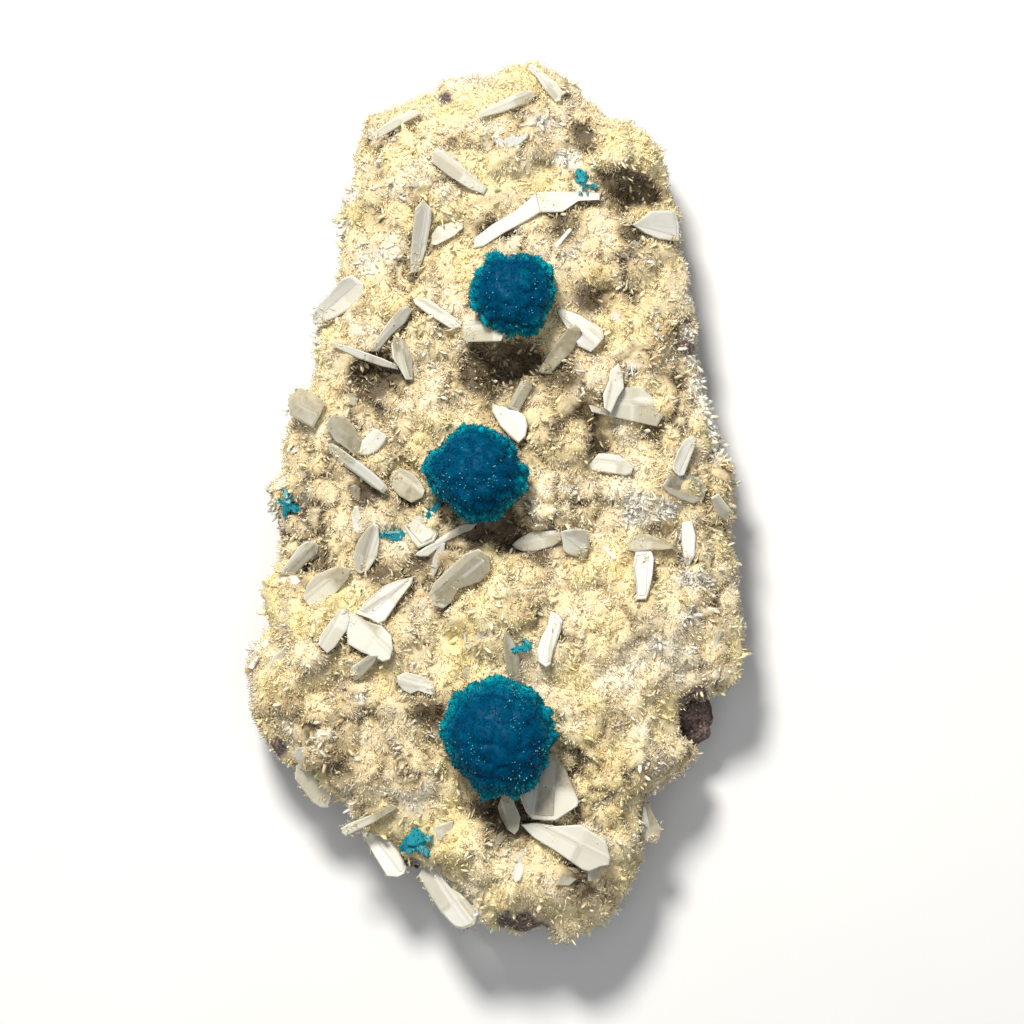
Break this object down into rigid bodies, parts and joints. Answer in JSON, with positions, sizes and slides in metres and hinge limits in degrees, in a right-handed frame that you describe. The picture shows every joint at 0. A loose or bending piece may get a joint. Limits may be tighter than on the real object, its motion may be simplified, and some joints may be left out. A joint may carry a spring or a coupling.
{
  "type": "cavansite mineral specimen",
  "caption": "Natural mineral specimen: blue spherical cavansite rosettes on a cream stilbite druse with larger stilbite blades, grown on a slab of dark basalt.",
  "frame": {"origin": "middle of the underside, on the surface that the specimen lies on", "axes": "+Z out of the crystal face, +Y along the specimen towards its narrower end, +X across it"},
  "size_m": [0.05, 0.0886, 0.0253],
  "materials": {
    "basalt": "dull, rough broken basalt",
    "druse": "sugary cream crust of small glassy crystals",
    "stilbite": "milky to clear, vitreous to pearly",
    "cavansite_ball": "deep blue, sparkling crystal tips",
    "cavansite_spray": "bright teal blue, vitreous"
  },
  "bodies": {
    "root": {"basalt_matrix": "basalt", "cavansite_ball_lower": "cavansite_ball", "cavansite_ball_middle": "cavansite_ball", "cavansite_ball_upper": "cavansite_ball", "cavansite_spray_bow_tie": "cavansite_spray", "cavansite_spray_curl": "cavansite_spray", "cavansite_spray_left_star": "cavansite_spray", "cavansite_spray_middle_blade": "cavansite_spray", "cavansite_spray_rosette": "cavansite_spray", "cavansite_spray_top_fan": "cavansite_spray", "stilbite_blade_01": "stilbite", "stilbite_blade_02": "stilbite", "stilbite_blade_03": "stilbite", "stilbite_blade_04": "stilbite", "stilbite_blade_05": "stilbite", "stilbite_blade_06": "stilbite", "stilbite_blade_07": "stilbite", "stilbite_blade_08": "stilbite", "stilbite_blade_09": "stilbite", "stilbite_blade_10": "stilbite", "stilbite_blade_11": "stilbite", "stilbite_blade_12": "stilbite", "stilbite_blade_13": "stilbite", "stilbite_blade_14": "stilbite", "stilbite_blade_15": "stilbite", "stilbite_blade_16": "stilbite", "stilbite_blade_17": "stilbite", "stilbite_blade_18": "stilbite", "stilbite_blade_19": "stilbite", "stilbite_blade_20": "stilbite", "stilbite_blade_21": "stilbite", "stilbite_blade_22": "stilbite", "stilbite_blade_23": "stilbite", "stilbite_blade_24": "stilbite", "stilbite_blade_25": "stilbite", "stilbite_blade_26": "stilbite", "stilbite_blade_27": "stilbite", "stilbite_blade_28": "stilbite", "stilbite_blade_29": "stilbite", "stilbite_blade_30": "stilbite", "stilbite_blade_31": "stilbite", "stilbite_blade_32": "stilbite", "stilbite_blade_33": "stilbite", "stilbite_blade_34": "stilbite", "stilbite_blade_35": "stilbite", "stilbite_blade_36": "stilbite", "stilbite_blade_37": "stilbite", "stilbite_blade_38": "stilbite", "stilbite_blade_39": "stilbite", "stilbite_blade_40": "stilbite", "stilbite_blade_41": "stilbite", "stilbite_blade_42": "stilbite", "stilbite_blade_43": "stilbite", "stilbite_blade_44": "stilbite", "stilbite_druse": "druse"}
  },
  "joints": []
}
